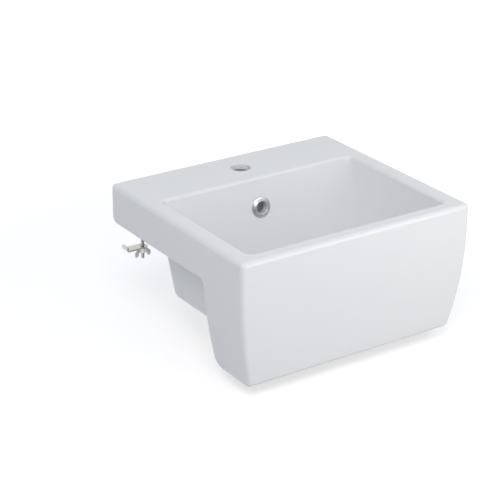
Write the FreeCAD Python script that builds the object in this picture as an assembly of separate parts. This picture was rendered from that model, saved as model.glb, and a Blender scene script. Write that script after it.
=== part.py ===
import FreeCAD
import Part
import math
import os

from FreeCAD import Vector

# Semi-recessed washbasin in glazed ceramic, with its overflow ring, slotted click waste and two
# worktop clamps. Millimetres, +Z up, +Y towards the wall, -Y towards the user.
# The origin is on the mid-plane, on the seat that rests on the worktop, mid-way across the flat of
# the rear land.

# ---- Driving dimensions: the ceramic's outer form ----
WIDTH = 450.0
DEPTH = 400.0
RIM_HEIGHT = 72.0        # worktop to the top of the deck
APRON_DROP = 152.0       # worktop to the lower edge of the apron
SHOULDER_AHEAD = 50.0    # waste to the shoulder that meets the worktop's front edge
SHOULDER_LEAN = 5.0      # how far the shoulder leans forward on its way down
SIDE_STRAIGHT = 50.0     # plumb part of each side, below the top
SIDE_ARC_R = 700.0       # then the side curves in on this radius
FRONT_STRAIGHT = 40.0
FRONT_ARC_R = 1270.0
CORNER_R = 9.0           # upright front corners and the outline of both sides
TOP_EDGE_R = 8.0
REAR_CORNER_R = 15.0     # the rim's lower back corner, seen from the side
NOTCH_R = 9.0            # the inside corner over the worktop's front edge
HEEL_R = 23.0            # the apron's lower back corner, seen from the side

# ---- The ceramic's walls ----
WALL = 11.0
DECK = 10.0              # thickness of the deck where the tap stands
REAR_LAND = 27.0         # rear rim, whose lower face is the rear part of the seat
SIDE_LAND = 24.0         # seat on each side, from the outer face to the hollow

# ---- The bowl ----
SIDE_RIM = 30.5
MOUTH_FRONT = 27.0       # front rim
DECK_DEEP = 111.0        # back face to the bowl's back edge
BOWL_CORNER_R = 12.0     # upright corners, the same all the way down
MOUTH_EDGE_R = 6.0
FLOOR_EDGE_R = 11.0      # floor to wall
FLOOR_FALL = 2.0         # degrees: the floor falls from both sides to the waste
BOWL_DEPTH = 166.0       # top to the floor at the waste
SIDE_DRAFT = 6.0         # degrees off plumb
FRONT_DRAFT = 5.0
BACK_DRAFT = 10.5

# ---- Tap hole, overflow and waste hole ----
TAP_HOLE_D = 35.0
TAP_FROM_BACK = 57.0
TAP_EDGE = 1.2
OVERFLOW_DROP = 52.5     # top to the centre of the overflow
OVERFLOW_HOLE_D = 25.0
DUCT_HALF = 19.0         # inside the overflow's cast duct
DUCT_DEEP = 10.0
DUCT_SKIN = 10.0
DUCT_ABOVE = 10.0        # duct above the overflow hole
DUCT_BEND_R = 22.0
DUCT_TOP_R = 2.0
WASTE_AHEAD = 124.0      # bowl's back edge to the waste
WASTE_HOLE_GAP = 2.05    # ceramic's hole round the thread
BOSS_D = 92.0
RECESS_DEEP = 3.4        # flat seat for the waste's flange, below the floor
RECESS_GAP = 1.5

# ---- Waste, for a 1 1/4 inch trap ----
THREAD_D = 41.9
PIPE_WALL = 2.95         # to the thread's crest
FLANGE_D = 63.0
FLANGE_THICK = 2.6
FLANGE_EDGE = 1.0
SEAT_CHAMFER = 2.0       # conical seat for the plug's seal, at the pipe's mouth
TAIL_LENGTH = 15.0       # thread below the relief groove, for the trap's nut
TAIL_ABOVE = 4.0         # thread between the back nut and the groove
GROOVE_TALL = 2.5
GROOVE_DEEP = 1.0
GASKET = 1.2
SLOT_WIDTH = 15.0        # overflow windows in the pipe, level with the duct
CONE_SEAL = 9.0
CONE_LIP = 4.0           # the part of the seal that enters the ceramic's hole
CONE_LIP_GAP = 0.3
CONE_LIP_TAPER = 0.8
CONE_SEAL_D = 64.0
SLIP_RING = 2.0
SLIP_RING_D = 62.0
NUT_TALL = 10.0
NUT_FLATS = 54.0
SPIDER_TALL = 6.0        # cross arms inside the pipe, which carry the plug's post
SPIDER_ARM = 5.0
SPIDER_ARMS = 3
HUB_R = 7.0
FIT_GAP = 0.1            # between pieces that are screwed or pushed together

# ---- Click plug ----
PLUG_TRAVEL = 9.0
CAP_INSET = 1.5          # cap's edge inside the flange's
CAP_THICK = 3.6
CAP_BEVEL = 1.8
CAP_GAP = 0.8            # cap's edge above the flange, closed
STEM_R = 3.9
SEAL_BELOW = 2.0         # seal below the flange's top, closed
SEAL_GAP = 0.45          # level gap between the seal and its seat
SLEEVE_R = 7.0
SLEEVE_FLANGE_R = 9.0
SLEEVE_FLANGE = 1.5
SLEEVE_BORE_R = 4.6
SLEEVE_SOCKET = 6.5
STEM_SHORT = 0.5         # stem's end above the socket's floor
SLEEVE_WEB = 2.0         # between the stem's socket and the spring's hollow
SLEEVE_HOLLOW = 24.0
SLEEVE_CLEAR = 2.5       # sleeve's foot above the spider, closed
SHOULDER_TALL = 16.0     # guide shoulder on the fixed post
GUIDE_GAP = 0.05         # running fit of the sleeve on the shoulder
POST_R = 2.3
POST_CLEAR = 1.5
POST_ROOT_R = 3.0
SPRING_WIRE = 0.8
SPRING_TURNS = 5
SPRING_SECTIONS = 8      # to a turn
SPRING_SIDES = 6         # the wire's section is a hexagon
PIN_R = 0.7
PIN_SHORT = 0.1          # pin's outer end inside the sleeve's face
PIN_UP = 2.5             # pin above the sleeve's foot
PIN_PLAY = 0.3           # pin to the sides and floor of its groove
PIN_GROOVE_DEEP = 1.9

# ---- Overflow ring ----
RING_LAP = 6.0           # bezel past the ceramic's hole
RING_PROUD = 4.5
RING_WALL = 2.0          # the sleeve's
RING_SLEEVE = 9.0
RING_EDGE = 1.2          # plain edge against the wall
RING_BEVEL = 2.6
RING_MOUTH = 1.4

# ---- Worktop clamps ----
WORKTOP = 30.0           # thickness of the worktop that the clamps are drawn on
CLAMP_TRAVEL = 10.0      # each way, for other thicknesses
STUD_PAST = 1.4          # stud beyond the nut at the end of its travel
CLAMP_INSET = 13.0       # stud to the inner faces of the hollow, both ways
BOSS_UP = 6.0            # boss's lower face above the seat
ANCHOR_R = 5.0
ANCHOR_TALL = 32.0
STUD_R = 3.0
STUD_IN = 30.0           # stud inside its anchor
BAR_REACH = 35.0         # stud to the bar's tip
BAR_WIDTH = 18.0
BAR_THICK = 3.0
BAR_TIP = 6.0            # height of the upturned tip
BAR_BEND_R = 1.5         # inside of the bend
BAR_HOLE_GAP = 1.0       # an 8 mm hole for the 6 mm stud
WING_FLANGE_R = 9.0      # washer face in one with the nut
WING_FLANGE = 1.6
WING_HUB_R = 7.0
WING_TALL = 8.0
WING_SPAN = 31.0
WING_THICK = 3.0
WING_DROP = 8.0          # wings below the hub
WING_FOOT = 6.0          # width of each wing's foot
WING_TIP_R = 3.0

# ---- Places worked out from them ----
BACK_Y = (REAR_LAND + REAR_CORNER_R) / 2
FRONT_Y = BACK_Y - DEPTH
TAP_Y = BACK_Y - TAP_FROM_BACK
MOUTH_BACK_Y = BACK_Y - DECK_DEEP
WASTE_Y = MOUTH_BACK_Y - WASTE_AHEAD
SHOULDER_Y = WASTE_Y - SHOULDER_AHEAD
MOUTH_HALF = WIDTH / 2 - SIDE_RIM
FLOOR_Z = RIM_HEIGHT - BOWL_DEPTH
RECESS_Z = FLOOR_Z - RECESS_DEEP
OVERFLOW_Z = RIM_HEIGHT - OVERFLOW_DROP
DUCT_TOP_Z = OVERFLOW_Z + OVERFLOW_HOLE_D / 2 + DUCT_ABOVE
DUCT_ROOF_Z = RECESS_Z - WALL
DUCT_FLOOR_Z = DUCT_ROOF_Z - DUCT_DEEP
BOSS_Z = DUCT_FLOOR_Z - WALL
HOLLOW_HALF = WIDTH / 2 - SIDE_LAND
HOLLOW_BACK = BACK_Y - REAR_LAND
CLAMP_X = HOLLOW_HALF - CLAMP_INSET
CLAMP_Y = HOLLOW_BACK - CLAMP_INSET
THREAD_R = THREAD_D / 2
PIPE_R = THREAD_R - PIPE_WALL
WASTE_HOLE_R = THREAD_R + WASTE_HOLE_GAP
FLANGE_Z = RECESS_Z + GASKET
FLANGE_TOP_Z = FLANGE_Z + FLANGE_THICK
SEAL_FOOT_Z = BOSS_Z - CONE_SEAL
SLIP_Z = SEAL_FOOT_Z - SLIP_RING
NUT_Z = SLIP_Z - NUT_TALL
GROOVE_Z = NUT_Z - TAIL_ABOVE
TAIL_TOP_Z = GROOVE_Z - GROOVE_TALL
TAIL_Z = TAIL_TOP_Z - TAIL_LENGTH
CAP_Z = FLANGE_TOP_Z + CAP_GAP
SLEEVE_TOP_Z = FLANGE_TOP_Z - SEAL_BELOW
SOCKET_Z = SLEEVE_TOP_Z - SLEEVE_SOCKET
CEILING_Z = SOCKET_Z - SLEEVE_WEB
SLEEVE_Z = CEILING_Z - SLEEVE_HOLLOW
SPIDER_TOP_Z = SLEEVE_Z - SLEEVE_CLEAR
SPIDER_Z = SPIDER_TOP_Z - SPIDER_TALL
SHOULDER_Z = SPIDER_TOP_Z + SHOULDER_TALL
PIN_Z = SLEEVE_Z + PIN_UP
BAR_Z = -WORKTOP - BAR_TIP - BAR_THICK
HUB_TOP_Z = BAR_Z - WING_FLANGE
WING_Z = HUB_TOP_Z - WING_TALL
SPARE = 5.0              # how far a cutting shape runs past what it cuts
OVERLAP = 1.0            # how far pieces of one solid run into each other
SHARP = 15.0             # degrees: an edge that turns more than this is rounded


# ---- Outlines ----
def flat_xz(y):
    return lambda a, b: Vector(a, y, b)


def flat_yz(x):
    return lambda a, b: Vector(x, a, b)


def flat_xy(z):
    return lambda a, b: Vector(a, b, z)


def outline(corners, place):
    """Closed wire through corners (a, b) or (a, b, radius), a radius being a tangent arc."""
    starts, ends, middles = [], [], []
    for i, corner in enumerate(corners):
        point = Vector(corner[0], corner[1], 0)
        radius = corner[2] if len(corner) > 2 else 0.0
        back = (Vector(*corners[i - 1][:2], 0) - point).normalize()
        ahead = (Vector(*corners[(i + 1) % len(corners)][:2], 0) - point).normalize()
        half = back.getAngle(ahead) / 2
        leg = radius / math.tan(half)
        starts.append(point + back * leg)
        ends.append(point + ahead * leg)
        inward = (back + ahead).normalize() if radius else Vector()
        middles.append(point + inward * (radius / math.sin(half) - radius))
    edges = []
    for i, start in enumerate(starts):
        if (start - ends[i]).Length > 1e-6:
            arc = [place(p.x, p.y) for p in (start, middles[i], ends[i])]
            edges.append(Part.Arc(*arc).toShape())
        following = starts[(i + 1) % len(starts)]
        if (following - ends[i]).Length > 1e-6:
            line = [place(p.x, p.y) for p in (ends[i], following)]
            edges.append(Part.makeLine(*line))
    return Part.Wire(edges)


def extrude(corners, place, run):
    """Solid of a flat outline pushed along a vector."""
    return Part.Face(outline(corners, place)).extrude(run)


def turned(corners, x, y):
    """Solid of revolution of a (radius, z) outline about a plumb axis at x, y."""
    face = Part.Face(outline([(x + c[0],) + tuple(c[1:]) for c in corners], flat_xz(y)))
    return face.revolve(Vector(x, y, 0), Vector(0, 0, 1), 360)


def tube(outer, bore, low, high, x, y):
    """Plain ring between two heights."""
    body = Part.makeCylinder(outer, high - low, Vector(x, y, low))
    return body.cut(Part.makeCylinder(bore, high - low, Vector(x, y, low)))


def sharp_edges(solid, keep=lambda edge: True):
    """Edges whose two faces turn by more than the SHARP angle."""
    chosen = []
    for edge in solid.Edges:
        faces = solid.ancestorsOfType(edge, Part.Face)
        if len(faces) != 2 or not keep(edge):
            continue
        middle = edge.valueAt((edge.FirstParameter + edge.LastParameter) / 2)
        normals = [face.normalAt(*face.Surface.parameter(middle)) for face in faces]
        if math.degrees(normals[0].getAngle(normals[1])) > SHARP:
            chosen.append(edge)
    return chosen


def level_with(z):
    """Test for edges that lie wholly at one height."""
    return lambda edge: all(abs(v.Z - z) < 0.01 for v in edge.Vertexes)


def save(name, shape):
    shape = shape.removeSplitter()
    print(name, shape.isValid(), len(shape.Solids), round(shape.Volume / 1000, 2), "cm3")
    shape.exportStep("parts/" + name + ".step")


# ---- The ceramic ----
def leaning_face(straight, radius, inset, foot):
    """Height of the corner that a face's arc rounds, and how far in its foot ends up."""
    radius = radius - inset
    drop = RIM_HEIGHT - straight - foot
    angle = math.asin(drop / radius)
    return RIM_HEIGHT - straight - radius * math.tan(angle / 2), radius * (1 - math.cos(angle)), radius


def front_view(inset, foot):
    """Outline seen from the front: plumb sides that curve in below the rim."""
    knee, toe, radius = leaning_face(SIDE_STRAIGHT, SIDE_ARC_R, inset, foot)
    half = WIDTH / 2 - inset
    return [
        (-half, RIM_HEIGHT),
        (half, RIM_HEIGHT),
        (half, knee, radius),
        (half - toe, foot),
        (toe - half, foot),
        (-half, knee, radius),
    ]


def envelope():
    """Outer form: the side view and the front view pushed through each other, then rounded."""
    knee, toe, radius = leaning_face(FRONT_STRAIGHT, FRONT_ARC_R, 0.0, -APRON_DROP)
    side_view = [
        (FRONT_Y, RIM_HEIGHT),
        (BACK_Y, RIM_HEIGHT),
        (BACK_Y, 0.0, REAR_CORNER_R),
        (SHOULDER_Y, 0.0, NOTCH_R),
        (SHOULDER_Y - SHOULDER_LEAN, -APRON_DROP, HEEL_R),
        (FRONT_Y + toe, -APRON_DROP),
        (FRONT_Y, knee, radius),
    ]
    form = extrude(side_view, flat_yz(-WIDTH / 2 - SPARE), Vector(WIDTH + 2 * SPARE, 0, 0))
    across = front_view(0.0, -APRON_DROP)
    form = form.common(extrude(across, flat_xz(FRONT_Y - SPARE), Vector(0, DEPTH + 2 * SPARE, 0)))
    at_top = level_with(RIM_HEIGHT)
    form = form.makeFillet(CORNER_R, sharp_edges(form, lambda edge: not at_top(edge)))
    return form.makeFillet(TOP_EDGE_R, sharp_edges(form, at_top))


def back_wall_y(z):
    """The bowl's back wall leans forward on its way down."""
    return MOUTH_BACK_Y - (RIM_HEIGHT - z) * math.tan(math.radians(BACK_DRAFT))


def drafted(z, skin):
    """Half width, front and back of the bowl at a height, grown by a skin."""
    drop = RIM_HEIGHT - z
    half = MOUTH_HALF - drop * math.tan(math.radians(SIDE_DRAFT))
    front = FRONT_Y + MOUTH_FRONT + drop * math.tan(math.radians(FRONT_DRAFT))
    return half + skin, front - skin, back_wall_y(z) + skin


def bowl(skin, top):
    """The bowl's space, or with a skin the ceramic round it: flat drafted walls and a falling floor."""
    low = FLOOR_Z - skin
    edge = low + MOUTH_HALF * math.tan(math.radians(FLOOR_FALL))
    half_low, front_low, back_low = drafted(low, skin)
    half_edge = drafted(edge, skin)[0]
    half_top, front_top, back_top = drafted(top, skin)
    side = [(front_low, low), (back_low, low), (back_top, top), (front_top, top)]
    across = [(0, low), (half_edge, edge), (half_top, top), (-half_top, top), (-half_edge, edge)]
    form = extrude(side, flat_yz(-WIDTH / 2), Vector(WIDTH, 0, 0))
    form = form.common(extrude(across, flat_xz(FRONT_Y), Vector(0, DEPTH, 0)))
    upright = sharp_edges(form, lambda edge: abs(edge.Vertexes[0].Z - edge.Vertexes[1].Z) > BOWL_DEPTH / 2)
    form = form.makeFillet(BOWL_CORNER_R + skin, upright)
    floor_edges = sharp_edges(form, lambda edge: edge.CenterOfMass.z < (FLOOR_Z + top) / 2)
    return form.makeFillet(FLOOR_EDGE_R + skin, floor_edges)


def duct(skin):
    """The overflow's duct: down the back of the bowl, then forward under its floor to the waste.

    With no skin it is the duct's hollow, and with one it is the ceramic round that hollow.
    """
    outer = WALL + DUCT_DEEP + skin
    low = DUCT_FLOOR_Z - skin
    side = [
        (back_wall_y(DUCT_TOP_Z) - WALL, DUCT_TOP_Z + skin),
        (back_wall_y(DUCT_TOP_Z + skin) + outer, DUCT_TOP_Z + skin, DUCT_TOP_R + skin),
        (back_wall_y(low) + outer, low, DUCT_BEND_R + skin),
        (WASTE_Y, low),
        (WASTE_Y, DUCT_ROOF_Z),
        (back_wall_y(DUCT_ROOF_Z) - WALL, DUCT_ROOF_Z),
    ]
    half = DUCT_HALF + skin
    return extrude(side, flat_yz(-half), Vector(2 * half, 0, 0))


def clamp_boss(side):
    """Corner block in the hollow under the deck, bored for a clamp's anchor."""
    near = (side * (CLAMP_X - CLAMP_INSET), CLAMP_Y - CLAMP_INSET, CLAMP_INSET)
    far_x = side * (HOLLOW_HALF + SPARE)
    far_y = HOLLOW_BACK + SPARE
    plan = [near, (far_x, near[1]), (far_x, far_y), (near[0], far_y)]
    return extrude(plan, flat_xy(BOSS_UP), Vector(0, 0, RIM_HEIGHT - DECK - BOSS_UP + OVERLAP))


def under_deck():
    """Hollow behind the bowl, open below, where the tap is fastened."""
    front = MOUTH_BACK_Y - WALL
    plan = [
        (-HOLLOW_HALF, front),
        (HOLLOW_HALF, front),
        (HOLLOW_HALF, HOLLOW_BACK, CORNER_R),
        (-HOLLOW_HALF, HOLLOW_BACK, CORNER_R),
    ]
    return extrude(plan, flat_xy(-SPARE), Vector(0, 0, RIM_HEIGHT - DECK + SPARE))


def inside_apron():
    """Hollow between the apron and the bowl, open below."""
    foot = -APRON_DROP - SPARE
    knee, toe, radius = leaning_face(FRONT_STRAIGHT, FRONT_ARC_R, WALL, foot)
    front = FRONT_Y + WALL
    back = SHOULDER_Y - WALL
    side = [
        (front, RIM_HEIGHT),
        (back, RIM_HEIGHT),
        (back - SHOULDER_LEAN, foot),
        (front + toe, foot),
        (front, knee, radius),
    ]
    form = extrude(side, flat_yz(-WIDTH / 2), Vector(WIDTH, 0, 0))
    across = extrude(front_view(WALL, foot), flat_xz(FRONT_Y), Vector(0, SHOULDER_Y - FRONT_Y, 0))
    below = Part.makeBox(WIDTH, DEPTH, APRON_DROP + 2 * SPARE, Vector(-WIDTH / 2, FRONT_Y, foot - SPARE))
    return form.common(across).common(below)


def at_overflow(shape):
    """Stand a shape built up along +Z on the bowl's back wall, at the overflow."""
    shape.rotate(Vector(), Vector(1, 0, 0), 90.0 - BACK_DRAFT)
    shape.translate(Vector(0, back_wall_y(OVERFLOW_Z), OVERFLOW_Z))
    return shape


def basin_body():
    skin = bowl(WALL, RIM_HEIGHT - DECK / 2)
    cast = envelope().cut(inside_apron()).cut(under_deck())
    boss = Part.makeCylinder(BOSS_D / 2, FLOOR_Z - BOSS_Z, Vector(0, WASTE_Y, BOSS_Z))
    cast = cast.fuse([skin, duct(DUCT_SKIN), boss, clamp_boss(-1), clamp_boss(1)])
    cast = cast.cut(bowl(0.0, RIM_HEIGHT + SPARE))
    cast = cast.cut(duct(0.0).cut(skin))
    recess_r = FLANGE_D / 2 + RECESS_GAP
    holes = [
        Part.makeCylinder(TAP_HOLE_D / 2, 2 * DECK, Vector(0, TAP_Y, RIM_HEIGHT - 1.5 * DECK)),
        Part.makeCylinder(WASTE_HOLE_R, BOWL_DEPTH, Vector(0, WASTE_Y, BOSS_Z - SPARE)),
        Part.makeCylinder(recess_r, SPARE + RECESS_DEEP, Vector(0, WASTE_Y, RECESS_Z)),
        at_overflow(Part.makeCylinder(OVERFLOW_HOLE_D / 2, WALL + 2 * SPARE, Vector(0, 0, -WALL - SPARE))),
    ]
    for side in (-1, 1):
        foot = Vector(side * CLAMP_X, CLAMP_Y, BOSS_UP - OVERLAP)
        holes.append(Part.makeCylinder(ANCHOR_R, ANCHOR_TALL + OVERLAP, foot))
    cast = cast.cut(holes).Solids[0]

    tap_front = TAP_Y - TAP_HOLE_D / 2
    at_top = level_with(RIM_HEIGHT)
    mouth = sharp_edges(cast, lambda edge: at_top(edge) and edge.CenterOfMass.y < tap_front)
    cast = cast.makeFillet(MOUTH_EDGE_R, mouth)
    tap = sharp_edges(cast, lambda edge: at_top(edge) and edge.CenterOfMass.y > tap_front)
    return cast.makeChamfer(TAP_EDGE, tap)


# ---- Overflow ring ----
def overflow_ring():
    """Snap-in ring: a bevelled bezel on the wall and a sleeve in the ceramic's hole."""
    sleeve = OVERFLOW_HOLE_D / 2 - FIT_GAP
    bore = sleeve - RING_WALL
    rim = OVERFLOW_HOLE_D / 2 + RING_LAP
    corners = [
        (bore, -RING_SLEEVE),
        (sleeve, -RING_SLEEVE),
        (sleeve, 0.0),
        (rim, 0.0),
        (rim, RING_EDGE),
        (rim - RING_BEVEL, RING_PROUD),
        (bore + RING_MOUTH, RING_PROUD),
        (bore, RING_PROUD - RING_MOUTH),
    ]
    return at_overflow(turned(corners, 0, 0))


# ---- Waste ----
def waste_body():
    """Flange and threaded pipe in one, with overflow windows and a spider for the plug's post."""
    groove_r = THREAD_R - GROOVE_DEEP
    corners = [
        (PIPE_R, TAIL_Z),
        (THREAD_R, TAIL_Z),
        (THREAD_R, TAIL_TOP_Z),
        (groove_r, TAIL_TOP_Z),
        (groove_r, GROOVE_Z),
        (THREAD_R, GROOVE_Z),
        (THREAD_R, FLANGE_Z),
        (FLANGE_D / 2, FLANGE_Z),
        (FLANGE_D / 2, FLANGE_TOP_Z - FLANGE_EDGE),
        (FLANGE_D / 2 - FLANGE_EDGE, FLANGE_TOP_Z),
        (PIPE_R + SEAT_CHAMFER, FLANGE_TOP_Z),
        (PIPE_R, FLANGE_TOP_Z - SEAT_CHAMFER),
    ]
    body = turned(corners, 0, WASTE_Y)
    foot = Vector(-SLOT_WIDTH / 2, WASTE_Y - THREAD_D, DUCT_FLOOR_Z)
    body = body.cut(Part.makeBox(SLOT_WIDTH, 2 * THREAD_D, DUCT_DEEP, foot))
    hub = Part.makeCylinder(HUB_R, SPIDER_TALL, Vector(0, WASTE_Y, SPIDER_Z))
    arms = []
    for i in range(SPIDER_ARMS):
        foot = Vector(0, WASTE_Y - SPIDER_ARM / 2, SPIDER_Z)
        arm = Part.makeBox(PIPE_R + OVERLAP, SPIDER_ARM, SPIDER_TALL, foot)
        arm.rotate(Vector(0, WASTE_Y, 0), Vector(0, 0, 1), 90 + 360 * i / SPIDER_ARMS)
        arms.append(arm)
    body = body.fuse([hub] + arms)
    foot = Vector(0, WASTE_Y, SPIDER_Z - SPARE)
    root = Part.makeCylinder(POST_ROOT_R + FIT_GAP, SPIDER_TALL + 2 * SPARE, foot)
    return body.cut(root)


def flange_gasket():
    return tube(FLANGE_D / 2 - 1.0, THREAD_R + FIT_GAP, RECESS_Z, FLANGE_Z, 0, WASTE_Y)


def cone_seal():
    """Rubber seal under the boss: its lip fills the hole round the pipe."""
    bore = THREAD_R + FIT_GAP
    lip = WASTE_HOLE_R - CONE_LIP_GAP
    corners = [
        (bore, SEAL_FOOT_Z),
        (CONE_SEAL_D / 2, SEAL_FOOT_Z),
        (CONE_SEAL_D / 2, BOSS_Z),
        (lip, BOSS_Z),
        (lip - CONE_LIP_TAPER, BOSS_Z + CONE_LIP),
        (bore, BOSS_Z + CONE_LIP),
    ]
    return turned(corners, 0, WASTE_Y)


def slip_ring():
    return tube(SLIP_RING_D / 2, THREAD_R + FIT_GAP, SLIP_Z, SEAL_FOOT_Z, 0, WASTE_Y)


def back_nut():
    """Hexagon nut, its corners turned down at the lower end."""
    corner_r = NUT_FLATS / math.sqrt(3)
    plan = [
        (corner_r * math.cos(math.radians(60 * i)), WASTE_Y + corner_r * math.sin(math.radians(60 * i)))
        for i in range(6)
    ]
    hexagon = extrude(plan, flat_xy(NUT_Z), Vector(0, 0, NUT_TALL))
    flats = NUT_FLATS / 2
    fall = (corner_r - flats) * math.tan(math.radians(30))
    corners = [
        (THREAD_R + FIT_GAP, NUT_Z),
        (flats, NUT_Z),
        (corner_r, NUT_Z + fall),
        (corner_r, SLIP_Z),
        (THREAD_R + FIT_GAP, SLIP_Z),
    ]
    return hexagon.common(turned(corners, 0, WASTE_Y))


# ---- Click plug ----
def plug_cap():
    """Flat cap with a bevelled edge, and the stem that screws into the sleeve."""
    rim = FLANGE_D / 2 - CAP_INSET
    corners = [
        (0.0, SOCKET_Z + STEM_SHORT),
        (STEM_R, SOCKET_Z + STEM_SHORT),
        (STEM_R, CAP_Z),
        (rim, CAP_Z),
        (rim, CAP_Z + CAP_THICK - CAP_BEVEL),
        (rim - CAP_BEVEL, CAP_Z + CAP_THICK),
        (0.0, CAP_Z + CAP_THICK),
    ]
    return turned(corners, 0, WASTE_Y)


def plug_seal():
    """Rubber ring whose cone stops just short of the pipe's conical mouth."""
    top_r = PIPE_R + SEAT_CHAMFER - SEAL_GAP
    corners = [
        (STEM_R + FIT_GAP, SLEEVE_TOP_Z),
        (top_r - SEAL_BELOW, SLEEVE_TOP_Z),
        (top_r, FLANGE_TOP_Z),
        (top_r, CAP_Z),
        (STEM_R + FIT_GAP, CAP_Z),
    ]
    return turned(corners, 0, WASTE_Y)


def guide_sleeve():
    """Sleeve that slides on the post: a socket for the cap's stem above, the spring's hollow below."""
    socket = STEM_R + FIT_GAP
    corners = [
        (0.0, CEILING_Z),
        (0.0, SOCKET_Z),
        (socket, SOCKET_Z),
        (socket, SLEEVE_TOP_Z),
        (SLEEVE_FLANGE_R, SLEEVE_TOP_Z),
        (SLEEVE_FLANGE_R, SLEEVE_TOP_Z - SLEEVE_FLANGE),
        (SLEEVE_R, SLEEVE_TOP_Z - SLEEVE_FLANGE),
        (SLEEVE_R, SLEEVE_Z),
        (SLEEVE_BORE_R, SLEEVE_Z),
        (SLEEVE_BORE_R, CEILING_Z),
    ]
    body = turned(corners, 0, WASTE_Y)
    foot = Vector(0, WASTE_Y, PIN_Z)
    hole = Part.makeCylinder(PIN_R + GUIDE_GAP, SLEEVE_R + SPARE, foot, Vector(1, 0, 0))
    return body.cut(hole)


def latch_pin():
    """Pin through the sleeve's wall into the post's groove."""
    tip = SLEEVE_BORE_R - GUIDE_GAP - PIN_GROOVE_DEEP + PIN_PLAY
    foot = Vector(tip, WASTE_Y, PIN_Z)
    return Part.makeCylinder(PIN_R, SLEEVE_R - PIN_SHORT - tip, foot, Vector(1, 0, 0))


def guide_post():
    """Fixed post: a root in the spider's hub, a grooved guide shoulder and a rod inside the spring."""
    shoulder = SLEEVE_BORE_R - GUIDE_GAP
    corners = [
        (0.0, SPIDER_Z),
        (POST_ROOT_R, SPIDER_Z),
        (POST_ROOT_R, SPIDER_TOP_Z),
        (shoulder, SPIDER_TOP_Z),
        (shoulder, SHOULDER_Z),
        (POST_R, SHOULDER_Z),
        (POST_R, CEILING_Z - POST_CLEAR),
        (0.0, CEILING_Z - POST_CLEAR),
    ]
    body = turned(corners, 0, WASTE_Y)
    half = PIN_R + PIN_PLAY
    foot = Vector(shoulder - PIN_GROOVE_DEEP, WASTE_Y - half, PIN_Z - half)
    return body.cut(Part.makeBox(PIN_GROOVE_DEEP + SPARE, 2 * half, PLUG_TRAVEL + 2 * half, foot))


def return_spring():
    """Coil round the post's rod, from the guide shoulder to the sleeve's ceiling."""
    coil_r = (POST_R + SLEEVE_BORE_R) / 2
    wire_r = SPRING_WIRE / 2
    low = SHOULDER_Z + wire_r + GUIDE_GAP
    rise = CEILING_Z - wire_r - GUIDE_GAP - low
    steps = SPRING_TURNS * SPRING_SECTIONS
    sections = []
    for i in range(steps + 1):
        angle = 2 * math.pi * i / SPRING_SECTIONS
        outward = Vector(math.cos(angle), math.sin(angle), 0)
        centre = Vector(0, WASTE_Y, low + rise * i / steps) + outward * coil_r
        points = []
        for k in range(SPRING_SIDES):
            turn = 2 * math.pi * k / SPRING_SIDES
            points.append(centre + (outward * math.cos(turn) + Vector(0, 0, math.sin(turn))) * wire_r)
        sections.append(Part.makePolygon(points + points[:1]))
    return Part.makeLoft(sections, True, True)


# ---- Worktop clamps ----
def clamp_anchor(side):
    """Plug in the boss, threaded for the stud."""
    top = BOSS_UP + ANCHOR_TALL
    return tube(ANCHOR_R - FIT_GAP, STUD_R + FIT_GAP, BOSS_UP, top, side * CLAMP_X, CLAMP_Y)


def clamp_stud(side):
    low = WING_Z - CLAMP_TRAVEL - STUD_PAST
    foot = Vector(side * CLAMP_X, CLAMP_Y, low)
    return Part.makeCylinder(STUD_R, BOSS_UP + STUD_IN - low, foot)


def clamp_bar(side):
    """Bent steel bar whose upturned tip grips the worktop from below, outside its cut-out."""
    half = BAR_WIDTH / 2
    top = BAR_Z + BAR_THICK
    strip = [
        (-half, BAR_Z),
        (BAR_REACH, BAR_Z, BAR_THICK + BAR_BEND_R),
        (BAR_REACH, -WORKTOP),
        (BAR_REACH - BAR_THICK, -WORKTOP),
        (BAR_REACH - BAR_THICK, top, BAR_BEND_R),
        (-half, top),
    ]
    bar = extrude(strip, flat_xz(-half), Vector(0, BAR_WIDTH, 0))
    round_end = Part.makeCylinder(half, BAR_TIP + BAR_THICK, Vector(0, 0, BAR_Z))
    arm = Part.makeBox(BAR_REACH, BAR_WIDTH, BAR_TIP + BAR_THICK, Vector(0, -half, BAR_Z))
    bar = bar.common(round_end.fuse(arm))
    hole = Part.makeCylinder(STUD_R + BAR_HOLE_GAP, BAR_THICK + 2 * SPARE, Vector(0, 0, BAR_Z - SPARE))
    bar = bar.cut(hole)
    bar.rotate(Vector(), Vector(0, 0, 1), 0 if side > 0 else 180)
    bar.translate(Vector(side * CLAMP_X, CLAMP_Y, 0))
    return bar


def wing_nut(side):
    """Flanged nut with two wings that splay down and out."""
    bore = STUD_R + GUIDE_GAP
    hub = [
        (bore, WING_Z),
        (WING_HUB_R, WING_Z),
        (WING_HUB_R, HUB_TOP_Z),
        (WING_FLANGE_R, HUB_TOP_Z),
        (WING_FLANGE_R, BAR_Z),
        (bore, BAR_Z),
    ]
    reach = WING_SPAN / 2
    foot = WING_Z - WING_DROP
    root = bore + OVERLAP
    blade = [
        (root, HUB_TOP_Z),
        (WING_HUB_R, HUB_TOP_Z),
        (reach, WING_Z, WING_TIP_R),
        (reach, foot, WING_TIP_R),
        (reach - WING_FOOT, foot),
        (root, WING_Z),
    ]
    wing = extrude(blade, flat_xz(-WING_THICK / 2), Vector(0, WING_THICK, 0))
    other = wing.copy()
    other.rotate(Vector(), Vector(0, 0, 1), 180)
    nut = turned(hub, 0, 0).fuse([wing, other])
    nut.translate(Vector(side * CLAMP_X, CLAMP_Y, 0))
    return nut


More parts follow.
